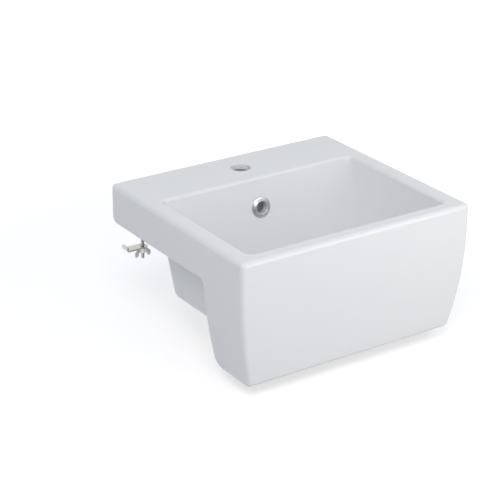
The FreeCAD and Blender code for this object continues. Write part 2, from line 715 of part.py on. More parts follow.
def main():
    os.makedirs("parts", exist_ok=True)
    single = (
        basin_body,
        overflow_ring,
        waste_body,
        flange_gasket,
        cone_seal,
        slip_ring,
        back_nut,
        plug_cap,
        plug_seal,
        guide_sleeve,
        latch_pin,
        guide_post,
        return_spring,
    )
    for make in single:
        save(make.__name__, make())
    for make in (clamp_anchor, clamp_stud, clamp_bar, wing_nut):
        for side, label in ((-1, "_left"), (1, "_right")):
            save(make.__name__ + label, make(side))


main()
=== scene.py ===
import math

import bmesh
import bpy
import numpy as np
from mathutils import Matrix, Vector


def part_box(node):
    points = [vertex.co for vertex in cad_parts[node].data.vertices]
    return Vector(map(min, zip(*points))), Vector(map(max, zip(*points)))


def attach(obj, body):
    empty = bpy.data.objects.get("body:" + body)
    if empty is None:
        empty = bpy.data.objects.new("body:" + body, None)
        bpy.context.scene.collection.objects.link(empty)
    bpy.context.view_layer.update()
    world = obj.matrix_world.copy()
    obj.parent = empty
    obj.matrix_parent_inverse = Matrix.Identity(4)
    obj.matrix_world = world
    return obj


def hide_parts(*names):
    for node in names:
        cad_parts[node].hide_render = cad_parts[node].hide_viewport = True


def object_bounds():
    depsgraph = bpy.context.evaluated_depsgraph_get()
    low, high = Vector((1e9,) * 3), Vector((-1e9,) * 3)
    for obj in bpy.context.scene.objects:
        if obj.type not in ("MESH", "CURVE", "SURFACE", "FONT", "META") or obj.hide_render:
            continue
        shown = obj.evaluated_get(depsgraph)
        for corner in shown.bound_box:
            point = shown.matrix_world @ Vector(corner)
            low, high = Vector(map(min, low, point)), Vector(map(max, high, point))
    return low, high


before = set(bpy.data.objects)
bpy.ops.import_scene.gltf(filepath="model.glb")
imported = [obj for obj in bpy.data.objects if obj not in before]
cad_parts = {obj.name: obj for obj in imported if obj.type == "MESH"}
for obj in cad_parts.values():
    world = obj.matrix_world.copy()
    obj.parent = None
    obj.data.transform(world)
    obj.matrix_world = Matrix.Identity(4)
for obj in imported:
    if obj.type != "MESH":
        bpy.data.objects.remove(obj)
CAD_BOX = [list(map(float, corner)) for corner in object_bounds()]

bl_info = {
    "name": "Semi-recessed basin",
    "version": (1, 0, 0),
    "blender": (4, 5, 0),
    "location": "View3D > Sidebar > Basin",
    "description": "Finishes a china basin with its waste, plug, overflow ring and worktop clamps",
    "category": "Object",
}

GRAIN = "Moulded grain"
DRIFT = "Slow drift"
RIPPLE = "Glaze ripple"
TURNING = "Turning marks"
RUBS = "Fine rubs"

# Lengths, in metres, that several pieces share
NEAR = 1e-6  # points closer than this count as one
FIT = 0.0001  # play between a ring and what it goes round
AXIS = 0.0001  # where a solid turned piece's outline stops short of its axis
NUT_GAP = 0.00002  # a wing nut's face below its bar, so that they don't share a plane

PIPE_COLUMNS = 96  # columns round the waste's pipe
THREAD_ROWS = 7  # rows to one turn of a thread

# Colours of the parts that have no setting of their own
WHITE = (1.0, 1.0, 1.0, 1.0)
BARE_PLASTIC = (0.70, 0.71, 0.73, 1.0)
SEAL_RUBBER = (0.022, 0.022, 0.024, 1.0)
PLUG_RUBBER = (0.03, 0.03, 0.032, 1.0)
SLIP_PLASTIC = (0.74, 0.74, 0.71, 1.0)
GUIDE_PLASTIC = (0.7, 0.7, 0.67, 1.0)
ANCHOR_NYLON = (0.62, 0.62, 0.59, 1.0)
SPRING_STEEL = (0.56, 0.56, 0.57, 1.0)
FLOOR_GREY = (0.6, 0.6, 0.6, 1.0)


# ---- Places read from the frame ----
def span(node):
    """Lowest and highest corner of a CAD node, in metres."""
    low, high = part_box(node)
    return np.array(low), np.array(high)


def axis_of(node):
    """Middle of a CAD node's box, seen from above."""
    low, high = span(node)
    return (low[0] + high[0]) / 2, (low[1] + high[1]) / 2


# ---- Sizes and colours ----
def number_prop(name, description, default, **more):
    """Setting for a number."""
    return bpy.props.FloatProperty(name=name, description=description, default=default, **more)


def length_prop(name, description, default, **more):
    """Setting for a length in metres."""
    return number_prop(name, description, default, unit="LENGTH", **more)


def angle_prop(name, description, degrees):
    """Setting for an angle, given in degrees."""
    return number_prop(name, description, math.radians(degrees), subtype="ANGLE")


def colour_prop(name, description, *channels, most=1.0):
    """Setting for a colour of three or four channels."""
    limits = {"min": 0.0, "max": most, "default": channels, "size": len(channels)}
    return bpy.props.FloatVectorProperty(
        name=name, description=description, subtype="COLOR", **limits
    )


class BasinChina(bpy.types.PropertyGroup):
    """The glazed casting."""

    glaze: colour_prop("Glaze", "Colour of the white glaze", 0.880, 0.886, 0.892, 1.0)
    biscuit: colour_prop(
        "Biscuit", "Colour of the bare fired clay on the foot and the seat", 0.76, 0.72, 0.66, 1.0
    )
    ripple: length_prop("Ripple", "Height of the waves that the glaze dries with", 0.00012, min=0.0)


class BasinRing(bpy.types.PropertyGroup):
    """The overflow's snap-in ring."""

    bore: length_prop("Bore", "Radius of the opening", 0.0104)
    sleeve: length_prop("Sleeve", "Radius of the part inside the china", 0.0124)
    rim: length_prop("Rim", "Outer radius on the wall", 0.0185)
    proud: length_prop("Proud", "Height above the wall", 0.0045)
    depth: length_prop("Depth", "Length of the sleeve", 0.009)
    shoulder: length_prop("Shoulder", "Radius where the flat band turns up to the collar", 0.0152)
    band: length_prop("Band", "Height of the flat band at the shoulder", 0.0021)
    crest: length_prop("Crest", "Outer radius of the collar's crest", 0.0130)
    lean: angle_prop("Lean", "How far the bowl's back wall leans off plumb", 10.5)
    chrome: colour_prop("Plating", "Colour of the plated plastic", 0.56, 0.575, 0.60, 1.0)


class BasinWaste(bpy.types.PropertyGroup):
    """The slotted waste, its nut and its plug."""

    pitch: length_prop("Pitch", "Rise of one turn of the pipe's thread", 0.002309)
    thread_depth: length_prop("Thread depth", "Crest to root of the pipe's thread", 0.0010)
    thread_run: length_prop("Thread run", "Thread between the nut and the relief groove", 0.004)
    groove: length_prop("Groove", "Height of the relief groove", 0.0025)
    groove_depth: length_prop("Groove depth", "Depth of the relief groove", 0.001)
    seat: length_prop("Seat", "Cone at the pipe's mouth", 0.002)
    window_foot: length_prop("Window foot", "Lower edge of the overflow windows", -0.1184)
    window_tall: length_prop("Window height", "Height of the overflow windows", 0.010)
    window_columns: bpy.props.IntProperty(
        name="Window width",
        description="Half the width of a window, in 96ths of a turn",
        default=6,
    )
    spider_tall: length_prop("Spider height", "Height of the cross arms", 0.006)
    arm: length_prop("Arm", "Width of a cross arm", 0.005)
    hub: length_prop("Hub", "Radius of the arms' hub", 0.007)
    post: length_prop("Post", "Radius of the post's root in the hub", 0.003)
    lip: length_prop("Lip", "Height of the seal's lip in the china's hole", 0.004)
    lip_radius: length_prop("Lip radius", "Radius of the seal's lip", 0.0227)
    stem: length_prop("Stem", "Radius of the cap's stem", 0.0039)
    crown: length_prop("Crown", "Rise of the cap's domed top", 0.0011)
    bore: length_prop("Bore", "Inner radius of the pipe", 0.018)
    crest: length_prop("Crest", "Outer radius of the thread", 0.02095)
    chrome: colour_prop("Plating", "Colour of the plated brass", 0.70, 0.71, 0.73, 1.0)
    brass: colour_prop("Brass", "Colour of the bare brass", 0.72, 0.53, 0.25, 1.0)


class BasinClamps(bpy.types.PropertyGroup):
    """The worktop clamps."""

    pitch: length_prop("Pitch", "Rise of one turn of the stud's thread", 0.001)
    thread_depth: length_prop("Thread depth", "Crest to root of the stud's thread", 0.00055)
    nut_bore: length_prop("Nut bore", "Bore of the wing nut", 0.00305)
    hub: length_prop("Hub", "Radius of the wing nut's hub", 0.007)
    hub_tall: length_prop("Hub height", "Height of the wing nut's hub", 0.008)
    washer: length_prop("Washer", "Thickness of the nut's washer face", 0.0016)
    wing_thick: length_prop("Wing thickness", "Thickness of a wing at its root", 0.003)
    wing_foot: length_prop("Wing foot", "Width of a wing's foot", 0.006)
    zinc: colour_prop("Zinc", "Colour of the zinc plating", 0.60, 0.62, 0.66, 1.0)


class BasinStage(bpy.types.PropertyGroup):
    """Floor, lamps and camera."""

    floor_gap: length_prop("Floor gap", "Floor below the lowest point", 0.0003)
    camera_place: bpy.props.FloatVectorProperty(
        name="Camera",
        description="Where the camera stands",
        default=(-1.5422, -2.3434, 1.1406),
        subtype="TRANSLATION",
    )
    turn: angle_prop("Turn", "Camera's heading, from +Y towards +X", 34.121)
    tilt: angle_prop("Tilt", "How far the camera looks down", 23.807)
    roll: angle_prop("Roll", "Camera's turn about its own line of sight", 0.448)
    lens: number_prop("Lens", "Focal length in millimetres", 124.12)
    sky: number_prop("Sky", "Strength of the even light from all round", 0.44)
    sky_colour: colour_prop("Sky colour", "Tint of the even light", 0.915, 0.99, 1.095, most=2.0)
    front: number_prop("Front", "Watts of the soft lamp close in front", 4.66)
    high: number_prop("High", "Watts of the large soft lamp above the camera", 40.8)
    back: number_prop("Back", "Watts of the soft lamp low behind the basin", 16.0)


SETTINGS = {
    "basin_china": BasinChina,
    "basin_ring": BasinRing,
    "basin_waste": BasinWaste,
    "basin_clamps": BasinClamps,
    "basin_stage": BasinStage,
}


# Each soft lamp: its place, its side, its tint, and whether the glaze and the metal mirror it
LAMPS = (
    ("front", (0.5, -1.4, 0.35), 0.9, (1.03, 1.015, 0.955), True),
    ("high", (-1.6, -1.9, 2.6), 1.6, (1.045, 0.98, 0.975), True),
    ("back", (1.8, 2.4, 0.35), 1.8, (1.0, 1.0, 1.0), False),
)


# ---- Surfaces ----
def cells(rows, columns, wrap_rows):
    """Four-cornered faces of a grid whose last column joins its first.

    Cell (i, j) joins points (i, j), (i, j+1), (i+1, j+1) and (i+1, j).
    """
    i = np.arange(rows if wrap_rows else rows - 1)
    i, j = np.meshgrid(i, np.arange(columns), indexing="ij")
    below, right = (i + 1) % rows, (j + 1) % columns
    corners = [i * columns + j, i * columns + right, below * columns + right, below * columns + j]
    return np.stack(corners, -1).reshape(-1, 4)


def piece(name, shells):
    """Mesh object from (points, faces, faces ...) shells, doubles merged and faces outwards."""
    points, faces, start = [], [], 0
    for shell_points, *kinds in shells:
        flat = np.asarray(shell_points, float).reshape(-1, 3)
        points.append(flat)
        for kind in kinds:
            faces.extend((np.asarray(kind) + start).tolist())
        start += len(flat)
    mesh = bpy.data.meshes.new(name)
    mesh.from_pydata(np.concatenate(points).tolist(), [], faces)
    work = bmesh.new()
    work.from_mesh(mesh)
    bmesh.ops.remove_doubles(work, verts=work.verts, dist=NEAR)
    bmesh.ops.recalc_face_normals(work, faces=work.faces)
    work.to_mesh(mesh)
    work.free()
    obj = bpy.data.objects.new(name, mesh)
    bpy.context.scene.collection.objects.link(obj)
    return obj


def rounded(corners, steps=6):
    """Closed outline through (a, b, radius) corners.

    Each corner's arc touches both its sides at radius / tan(half the corner's angle), and its
    points are turned evenly about the arc's centre. Corners with no radius stay sharp.
    """
    corners = np.array(corners, float)
    out = []
    for i, (a, b, radius) in enumerate(corners):
        here = np.array([a, b])
        back = corners[i - 1][:2] - here
        ahead = corners[(i + 1) % len(corners)][:2] - here
        back, ahead = back / np.linalg.norm(back), ahead / np.linalg.norm(ahead)
        half = math.acos(np.clip(back @ ahead, -1, 1)) / 2
        if radius <= 0:
            out.append(here[None])
            continue
        inward = (back + ahead) / np.linalg.norm(back + ahead)
        centre = here + inward * radius / math.sin(half)
        start = here + back * radius / math.tan(half) - centre
        end = here + ahead * radius / math.tan(half) - centre
        sweep = (math.pi - 2 * half) * np.sign(start[0] * end[1] - start[1] * end[0])
        t = np.linspace(0, sweep, steps + 1)[:, None]
        across = np.array([-start[1], start[0]])
        out.append(centre + start * np.cos(t) + across * np.sin(t))
    return np.concatenate(out)


def thread(pitch, depth, runs, crest):
    """Thread on a turned wall, in runs between pairs of heights.

    At angle a and height z the radius drops by depth times a wave of z / pitch - a / turn, cut flat
    at crests and roots. The wave fades in and out at each run's ends, and other walls stay plain.
    """
    fade = 0.0008
    steep, flat = 1.25, 0.12

    def lift(angle, z, radius):
        wave = np.abs((z / pitch - angle / (2 * np.pi)) % 1.0 - 0.5) * 2
        ends = np.zeros_like(z)
        for low, high in runs:
            ends = np.maximum(ends, np.clip(np.minimum(z - low, high - z) / fade, 0, 1))
        on_wall = np.abs(radius - crest) < NEAR
        return -depth * np.clip(steep * wave - flat, 0, 1) * ends * on_wall

    return lift


def fine(outline, low, high, step, radius):
    """Outline with points a step apart on its plumb wall of one radius, between two heights."""
    tolerance = 1e-5
    out = []
    for point, following in zip(outline, np.roll(outline, -1, 0)):
        out.append(point)
        on_wall = abs(point[0] - radius) < tolerance and abs(following[0] - radius) < tolerance
        rise = following[1] - point[1]
        inside = min(point[1], following[1]) >= low - tolerance
        inside = inside and max(point[1], following[1]) <= high + tolerance
        if on_wall and inside and abs(rise) > step:
            count = int(abs(rise) / step)
            t = np.arange(1, count)[:, None] / count
            out.extend(point + (following - point) * t)
    return np.array(out)


def revolved(outline, x, y, columns=96, lift=None):
    """Closed shell of a closed (radius, z) outline turned about a plumb axis.

    Point (i, j) is radius_i times (cos a_j, sin a_j) at z_i, and lift(a, z, radius) is added to
    the radius.
    """
    angle = np.arange(columns) * 2 * np.pi / columns
    radius = np.repeat(outline[:, :1], columns, 1)
    z = np.repeat(outline[:, 1:], columns, 1)
    if lift:
        radius = radius + lift(angle[None, :], z, radius)
    return turned_grid(radius, z, angle, x, y)


def turned_grid(radius, z, angle, x, y):
    """Closed shell whose point (i, j) stands at angle j, with its own radius and height."""
    points = np.stack([x + radius * np.cos(angle), y + radius * np.sin(angle), z], -1)
    return points, cells(*radius.shape, True)


def windowed(shell, outer, inner, first, last):
    """Opening through both skins of a turned wall, with walls of its own round it.

    The rows of the outer and of the inner skin are given from the sill up, at the same heights.
    Their cells between the first and the last column are left out, and four strips join the skins.
    """
    points, faces = shell
    columns = points.shape[1]
    row, column = faces[:, 0] // columns, faces[:, 0] % columns
    level = np.zeros(len(faces), bool)
    for rows in (outer, inner):
        level |= (row >= rows.min()) & (row < rows.max())
    faces = faces[~(level & (column >= first) & (column < last))]
    across = np.arange(first, last + 1)
    edges = [(outer * columns + side, inner * columns + side) for side in (first, last)]
    edges += [(outer[end] * columns + across, inner[end] * columns + across) for end in (0, -1)]
    strips = [np.stack([a[:-1], a[1:], b[1:], b[:-1]], -1) for a, b in edges]
    return points, np.concatenate([faces] + strips)


def slab(outline, low, high, edge):
    """Plate with rounded edges on a closed (a, b) outline, between two levels of c.

    Its loops follow the outline, drawn in by edge times (1 - sin t) along the outline's normals
    while c rises by edge times (1 - cos t), up one edge and down the other, and flat caps close it.
    """
    steps, repeated = 4, 1e-7
    outline = outline[np.linalg.norm(outline - np.roll(outline, 1, 0), axis=1) > repeated]
    ahead = np.roll(outline, -1, 0) - outline
    ahead = ahead / np.linalg.norm(ahead, axis=1)[:, None]
    mean = ahead + np.roll(ahead, 1, 0)
    mean = mean / np.linalg.norm(mean, axis=1)[:, None]
    a, b = outline.T
    area = np.sum(a * np.roll(b, -1) - b * np.roll(a, -1))
    outward = np.stack([mean[:, 1], -mean[:, 0]], -1) * np.sign(area)
    t = np.linspace(0, np.pi / 2, steps + 1)
    draw, rise = edge * (1 - np.sin(t)), edge * (1 - np.cos(t))
    inset = np.concatenate([draw, draw[::-1]])
    level = np.concatenate([low + rise, high - rise[::-1]])
    flat = outline[None] - outward[None] * inset[:, None, None]
    height = np.broadcast_to(level[:, None, None], flat.shape[:2] + (1,))
    points = np.concatenate([flat, height], -1)
    count = len(outline)
    caps = np.stack([np.arange(count), np.arange(count) + (len(level) - 1) * count])
    return points, cells(len(level), count, False), caps


def smooth(obj, angle=40.0):
    """Round shading, kept sharp where faces turn by more than an angle."""
    mesh = obj.data
    mesh.shade_smooth()
    mesh.set_sharp_from_angle(angle=math.radians(angle))
    return obj


def bevel(obj, width, angle=40.0):
    """Small rounded arris on every edge that turns by more than an angle."""
    modifier = obj.modifiers.new("Arris", "BEVEL")
    modifier.width = width
    modifier.segments = 2
    modifier.limit_method = "ANGLE"
    modifier.angle_limit = math.radians(angle)
    modifier.harden_normals = True


def finish_piece(obj, body, slot, material, *nodes):
    """Material, body and the CAD nodes that a piece stands for. The slot is not used."""
    obj.data.materials.append(material)
    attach(obj, body)
    if nodes:
        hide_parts(*nodes)


def soften_node(node, material):
    """A CAD node that keeps its shape, welded and evenly shaded by modifiers, in a new material."""
    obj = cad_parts[node]
    weld = obj.modifiers.new("Weld", "WELD")
    weld.merge_threshold = 2 * NEAR
    split = obj.modifiers.new("Sharp edges", "EDGE_SPLIT")
    split.split_angle = math.radians(32.0)
    normals = obj.modifiers.new("Even shading", "WEIGHTED_NORMAL")
    normals.weight = 90
    for slot in obj.material_slots:
        slot.material = material
    if not obj.material_slots:
        obj.data.materials.append(material)
    return obj


# ---- Shared patterns ----
def new_group(name, inputs, outputs):
    """Empty shader node group with float or vector sockets, and its two end nodes."""
    tree = bpy.data.node_groups.new(name, "ShaderNodeTree")
    for label, kind, value in inputs:
        socket = tree.interface.new_socket(name=label, in_out="INPUT", socket_type=kind)
        if value is not None:
            socket.default_value = value
    for label, kind in outputs:
        tree.interface.new_socket(name=label, in_out="OUTPUT", socket_type=kind)
    return tree, tree.nodes.new("NodeGroupInput"), tree.nodes.new("NodeGroupOutput")


def feed(tree, socket, value):
    """Another node's output, or a plain value, on a socket."""
    if isinstance(value, bpy.types.NodeSocket):
        tree.links.new(value, socket)
    else:
        socket.default_value = value


def math_node(tree, operation, *values):
    """Math node fed by sockets or plain numbers."""
    node = tree.nodes.new("ShaderNodeMath")
    node.operation = operation
    for socket, value in zip(node.inputs, values):
        feed(tree, socket, value)
    return node.outputs[0]


def length_node(tree, vector):
    """Length of a vector."""
    node = tree.nodes.new("ShaderNodeVectorMath")
    node.operation = "LENGTH"
    tree.links.new(vector, node.inputs[0])
    return node.outputs["Value"]


def mix_colours(tree, mask, first, second):
    """Colour that runs from one to another as a mask runs from 0 to 1."""
    node = tree.nodes.new("ShaderNodeMix")
    node.data_type = "RGBA"
    tree.links.new(mask, node.inputs["Factor"])
    a, b = (socket for socket in node.inputs if socket.type == "RGBA")
    feed(tree, a, first)
    feed(tree, b, second)
    return next(socket for socket in node.outputs if socket.type == "RGBA")


def map_range(tree, value, kind="LINEAR", **limits):
    """Value moved from one range to another; limits not given are 0 and 1."""
    node = tree.nodes.new("ShaderNodeMapRange")
    node.interpolation_type = kind
    tree.links.new(value, node.inputs["Value"])
    for label, limit in limits.items():
        node.inputs[label.replace("_", " ").title()].default_value = limit
    return node.outputs[0]


def noise(tree, vector, scale, detail, rough, stretch=None):
    """Noise texture on a vector, its scale a socket or a number."""
    if stretch:
        mapping = tree.nodes.new("ShaderNodeMapping")
        mapping.inputs["Scale"].default_value = stretch
        tree.links.new(vector, mapping.inputs["Vector"])
        vector = mapping.outputs[0]
    node = tree.nodes.new("ShaderNodeTexNoise")
    values = {"Vector": vector, "Scale": scale, "Detail": detail, "Roughness": rough}
    for label, value in values.items():
        feed(tree, node.inputs[label], value)
    return node.outputs[0]


def make_patterns():
    """The node groups that several materials share."""
    vector, number = "NodeSocketVector", "NodeSocketFloat"
    place = ("Vector", vector, None)

    tree, start, end = new_group(DRIFT, [place, ("Scale", number, 10.0)], [("Value", number)])
    value = noise(tree, start.outputs["Vector"], start.outputs["Scale"], 3.0, 0.55)
    tree.links.new(value, end.inputs["Value"])

    tree, start, end = new_group(RIPPLE, [place, ("Height", number, 0.0001)], [("Height", number)])
    broad = noise(tree, start.outputs["Vector"], 9.0, 1.0, 0.4)
    close = noise(tree, start.outputs["Vector"], 55.0, 1.5, 0.4)
    both = math_node(tree, "ADD", broad, math_node(tree, "MULTIPLY", close, 0.12))
    tree.links.new(math_node(tree, "MULTIPLY", both, start.outputs["Height"]), end.inputs["Height"])

    tree, start, end = new_group(GRAIN, [place, ("Size", number, 0.0006)], [("Height", number)])
    scale = math_node(tree, "DIVIDE", 1.0, start.outputs["Size"])
    value = noise(tree, start.outputs["Vector"], scale, 2.0, 0.6)
    tree.links.new(value, end.inputs["Height"])

    tree, start, end = new_group(TURNING, [place, ("Width", number, 0.0004)], [("Mask", number)])
    split = tree.nodes.new("ShaderNodeSeparateXYZ")
    tree.links.new(start.outputs["Vector"], split.inputs[0])
    square_x = math_node(tree, "MULTIPLY", split.outputs[0], split.outputs[0])
    square_y = math_node(tree, "MULTIPLY", split.outputs[1], split.outputs[1])
    radius = math_node(tree, "SQRT", math_node(tree, "ADD", square_x, square_y))
    run = math_node(tree, "ADD", radius, split.outputs[2])
    line = tree.nodes.new("ShaderNodeTexNoise")
    line.noise_dimensions = "1D"
    line.inputs["Detail"].default_value = 3.0
    line.inputs["Scale"].default_value = 1.0
    tree.links.new(math_node(tree, "DIVIDE", run, start.outputs["Width"]), line.inputs["W"])
    tree.links.new(line.outputs[0], end.inputs["Mask"])

    tree, start, end = new_group(RUBS, [place, ("Length", number, 60.0)], [("Mask", number)])
    where, length = start.outputs["Vector"], start.outputs["Length"]
    stretches = ((1.0, 14.0, 3.0), (11.0, 1.0, 2.0))
    lines = [noise(tree, where, length, 5.0, 0.7, stretch) for stretch in stretches]
    both = math_node(tree, "MAXIMUM", *lines)
    tree.links.new(map_range(tree, both, from_min=0.62, from_max=0.78), end.inputs["Mask"])


# ---- Materials ----
class Finish:
    """A material under construction: one Principled BSDF fed by shared patterns."""

    def __init__(self, name):
        self.material = bpy.data.materials.new(name)
        self.material.use_nodes = True
        self.tree = self.material.node_tree
        self.shader = self.tree.nodes["Principled BSDF"]
        self.place = self.tree.nodes.new("ShaderNodeTexCoord").outputs["Object"]

    def centred(self, location, rotation=(0.0, 0.0, 0.0)):
        """Object coordinates from a piece's own centre, turned to its own axis."""
        node = self.tree.nodes.new("ShaderNodeMapping")
        node.vector_type = "TEXTURE"
        node.inputs["Location"].default_value = location
        node.inputs["Rotation"].default_value = rotation
        self.tree.links.new(self.place, node.inputs["Vector"])
        return node.outputs[0]

    def pattern(self, name, vector=None, **values):
        """Node of a shared pattern, on object coordinates unless a vector is given."""
        node = self.tree.nodes.new("ShaderNodeGroup")
        node.node_tree = bpy.data.node_groups[name]
        self.tree.links.new(vector or self.place, node.inputs["Vector"])
        for label, value in values.items():
            node.inputs[label].default_value = value
        return node

    def between(self, mask, low, high):
        """Number between two, by a mask."""
        return map_range(self.tree, mask, to_min=low, to_max=high)

    def mixed(self, mask, first, second):
        """Colour between two, by a mask."""
        return mix_colours(self.tree, mask, first, second)

    def bump(self, height, distance):
        """Relief from a height, full strength, over a distance in metres."""
        node = self.tree.nodes.new("ShaderNodeBump")
        node.inputs["Distance"].default_value = distance
        self.tree.links.new(height, node.inputs["Height"])
        self.tree.links.new(node.outputs[0], self.shader.inputs["Normal"])

    def set(self, **values):
        """Plain values, or sockets, on the shader's own inputs."""
        for label, value in values.items():
            feed(self.tree, self.shader.inputs[label.replace("_", " ")], value)


def shade(colour, factor):
    """Colour a little lighter or darker."""
    return tuple(min(channel * factor, 1.0) for channel in colour[:3]) + (1.0,)


def glazed_china(props):
    """White glaze with slow waves, bare clay on the faces that stand or rest on something."""
    finish = Finish("glazed_china")
    drift = finish.pattern(DRIFT, Scale=7.0).outputs["Value"]
    glaze = finish.mixed(drift, shade(props.glaze, 0.985), shade(props.glaze, 1.015))
    geometry = finish.tree.nodes.new("ShaderNodeNewGeometry")
    split = finish.tree.nodes.new("ShaderNodeSeparateXYZ")
    finish.tree.links.new(geometry.outputs["Normal"], split.inputs[0])
    down = math_node(finish.tree, "LESS_THAN", split.outputs[2], -0.995)  # faces that look down
    bare = finish.pattern(GRAIN, Size=0.0009)
    clay = finish.mixed(bare.outputs["Height"], shade(props.biscuit, 0.93), props.biscuit)
    finish.set(
        Base_Color=finish.mixed(down, glaze, clay),
        Roughness=finish.between(down, 0.075, 0.6),
        IOR=1.52,
    )
    ripple = finish.pattern(RIPPLE, Height=props.ripple).outputs["Height"]
    finish.bump(ripple, 1.0)
    return finish.material


def plated(name, colour, centre, rotation=(0.0, 0.0, 0.0), rough=0.06, bare_bore=0.0):
    """Bright plating with faint rubs, and bare plastic within a radius of its axis."""
    finish = Finish(name)
    tree = finish.tree
    vector = finish.centred(centre, rotation)
    rubs = finish.pattern(RUBS, vector, Length=90.0).outputs["Mask"]
    marks = finish.pattern(TURNING, vector, Width=0.0005).outputs["Mask"]
    drift = finish.pattern(DRIFT, vector, Scale=60.0).outputs["Value"]
    roughness = finish.between(rubs, rough, rough + 0.16)
    tone = finish.mixed(drift, shade(colour, 0.96), colour)
    metal = 1.0
    if bare_bore:
        flat = tree.nodes.new("ShaderNodeVectorMath")
        flat.operation = "MULTIPLY"
        flat.inputs[1].default_value = (1.0, 1.0, 0.0)
        tree.links.new(vector, flat.inputs[0])
        inside = math_node(tree, "LESS_THAN", length_node(tree, flat.outputs[0]), bare_bore)
        metal = math_node(tree, "SUBTRACT", 1.0, inside)
        dull = math_node(tree, "MULTIPLY", inside, 0.5)
        roughness = math_node(tree, "MAXIMUM", roughness, dull)
        tone = finish.mixed(inside, tone, BARE_PLASTIC)
    finish.set(Base_Color=tone, Metallic=metal, Roughness=roughness)
    finish.bump(marks, 0.000004)
    return finish.material


def brass(name, colour, centre):
    """Bare turned brass, dulled unevenly."""
    finish = Finish(name)
    vector = finish.centred(centre)
    marks = finish.pattern(TURNING, vector, Width=0.0003).outputs["Mask"]
    drift = finish.pattern(DRIFT, vector, Scale=90.0).outputs["Value"]
    finish.set(
        Base_Color=finish.mixed(drift, shade(colour, 0.78), colour),
        Metallic=1.0,
        Roughness=finish.between(drift, 0.2, 0.42),
    )
    finish.bump(marks, 0.00002)
    return finish.material


def moulded(name, colour, rough):
    """Rubber or plastic with a fine moulded grain and uneven wiping marks."""
    finish = Finish(name)
    grain = finish.pattern(GRAIN, Size=0.0005)
    drift = finish.pattern(DRIFT, Scale=45.0).outputs["Value"]
    finish.set(
        Base_Color=finish.mixed(drift, shade(colour, 0.86), shade(colour, 1.1)),
        Roughness=finish.between(drift, rough - 0.06, rough + 0.08),
        IOR=1.5,
    )
    finish.bump(grain.outputs["Height"], 0.00002)
    return finish.material


def zinc(name, colour):
    """Zinc-plated steel: bluish and straw-coloured clouds, spangle and rubs."""
    finish = Finish(name)
    clouds = finish.pattern(DRIFT, Scale=120.0).outputs["Value"]
    straw = (colour[0] * 1.08, colour[1], colour[2] * 0.84, 1.0)
    rubs = finish.pattern(RUBS, Length=160.0).outputs["Mask"]
    grain = finish.pattern(GRAIN, Size=0.0007)
    finish.set(
        Base_Color=finish.mixed(clouds, colour, straw),
        Metallic=1.0,
        Roughness=finish.between(rubs, 0.3, 0.46),
    )
    finish.bump(grain.outputs["Height"], 0.000015)
    return finish.material


# ---- Operators ----
class BASIN_OT_china(bpy.types.Operator):
    """Glaze the casting."""

    bl_idname = "basin.china"
    bl_label = "China"

    def execute(self, context):
        props = context.scene.basin_china
        soften_node("basin_body", glazed_china(props))
        return {"FINISHED"}


class BASIN_OT_ring(bpy.types.Operator):
    """Overflow ring: a flat band, a raised collar and a sleeve, turned about the wall's normal."""

    bl_idname = "basin.ring"
    bl_label = "Overflow ring"

    def execute(self, context):
        props = context.scene.basin_ring
        edge = 0.0009
        outline = rounded(
            [
                (props.bore, -props.depth, 0.0004),
                (props.sleeve, -props.depth, 0.0004),
                (props.sleeve, 0.0, 0.0),
                (props.rim, 0.0, 0.0),
                (props.rim, 0.0011, edge),
                (props.shoulder, props.band, edge),
                (props.crest, props.proud, edge),
                (props.bore, props.proud, 0.0011),
            ],
            steps=8,
        )
        points, faces = revolved(outline, 0.0, 0.0, 128)
        low, high = span("overflow_ring")
        tilt = math.pi / 2 - props.lean
        points = points.reshape(-1, 3) @ np.array(Matrix.Rotation(tilt, 3, "X")).T
        middle = (low + high) / 2 - (points.min(0) + points.max(0)) / 2
        obj = smooth(piece("overflow_bezel", [(points + middle, faces)]))
        material = plated(
            "plated_ring",
            props.chrome,
            tuple(middle),
            rotation=(tilt, 0.0, 0.0),
            rough=0.27,
            bare_bore=props.bore + 0.0002,
        )
        finish_piece(obj, "basin", "chromed_ring", material, "overflow_ring")
        return {"FINISHED"}


